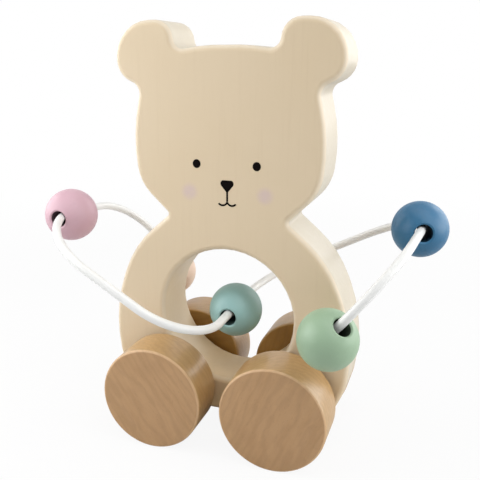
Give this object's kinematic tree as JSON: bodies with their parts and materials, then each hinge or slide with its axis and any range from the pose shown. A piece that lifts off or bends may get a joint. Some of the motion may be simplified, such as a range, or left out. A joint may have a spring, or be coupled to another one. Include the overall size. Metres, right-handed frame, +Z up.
{
  "type": "pull-along bead toy",
  "caption": "Bear-shaped board on rolling wheels, with round beads threaded on a bent wire that loops through a belly opening.",
  "frame": {"origin": "on the floor under the middle of the board", "axes": "+X the way the toy rolls, +Y from the bear's face to its back, +Z up"},
  "size_m": [0.1769, 0.0959, 0.1786],
  "materials": {
    "cream_paint": "satin cream beige paint",
    "beech": "bare beech, lightly oiled",
    "white_plastic": "smooth white coating",
    "steel": "drawn",
    "pink_paint": "satin paint",
    "teal_paint": "satin paint",
    "mint_paint": "satin paint",
    "blue_paint": "satin paint",
    "salmon_paint": "satin paint"
  },
  "bodies": {
    "body": {"body_plate": "cream_paint", "wire_core": "steel", "wire_coating": "white_plastic"},
    "wheelset_left": {"axle_left": "beech", "wheel_front_left": "beech", "wheel_back_left": "beech", "washer_front_left": "beech", "washer_back_left": "beech"},
    "wheelset_right": {"axle_right": "beech", "wheel_front_right": "beech", "wheel_back_right": "beech", "washer_front_right": "beech", "washer_back_right": "beech"},
    "bead_teal": {"bead_teal": "teal_paint"},
    "bead_blue": {"bead_blue": "blue_paint"},
    "bead_pink": {"bead_pink": "pink_paint"},
    "bead_mint": {"bead_mint": "mint_paint"},
    "bead_salmon": {"bead_salmon": "salmon_paint"}
  },
  "joints": [
    {"name": "left_wheels_roll", "type": "hinge", "parent": "body", "child": "wheelset_left", "pos_m": [-0.0268, 0, 0.0225], "axis": [0, 1, 0], "continuous": true},
    {"name": "right_wheels_roll", "type": "hinge", "parent": "body", "child": "wheelset_right", "pos_m": [0.0268, 0, 0.0225], "axis": [0, 1, 0], "continuous": true},
    {"name": "teal_bead_slides", "type": "slide", "parent": "body", "child": "bead_teal", "axis": [0, 1, 0], "range_m": [-0.012, 0.012]},
    {"name": "blue_bead_travels", "type": "hinge", "parent": "body", "child": "bead_blue", "pos_m": [0.0456, 0.00852, 0.07867], "axis": [0.4674, 0.0232, -0.8838], "range_deg": [-70, 18]},
    {"name": "pink_bead_travels", "type": "hinge", "parent": "body", "child": "bead_pink", "pos_m": [-0.0456, -0.00852, 0.07866], "axis": [-0.4674, -0.0234, -0.8837], "range_deg": [-80, 6]},
    {"name": "mint_bead_travels", "type": "hinge", "parent": "body", "child": "bead_mint", "pos_m": [0.05641, -0.00837, 0.0709], "axis": [0.7709, -0.0343, -0.6361], "range_deg": [-85, 0]},
    {"name": "salmon_bead_travels", "type": "hinge", "parent": "body", "child": "bead_salmon", "pos_m": [-0.05643, 0.00834, 0.07088], "axis": [-0.7713, 0.0343, -0.6356], "range_deg": [-95, 0]}
  ]
}
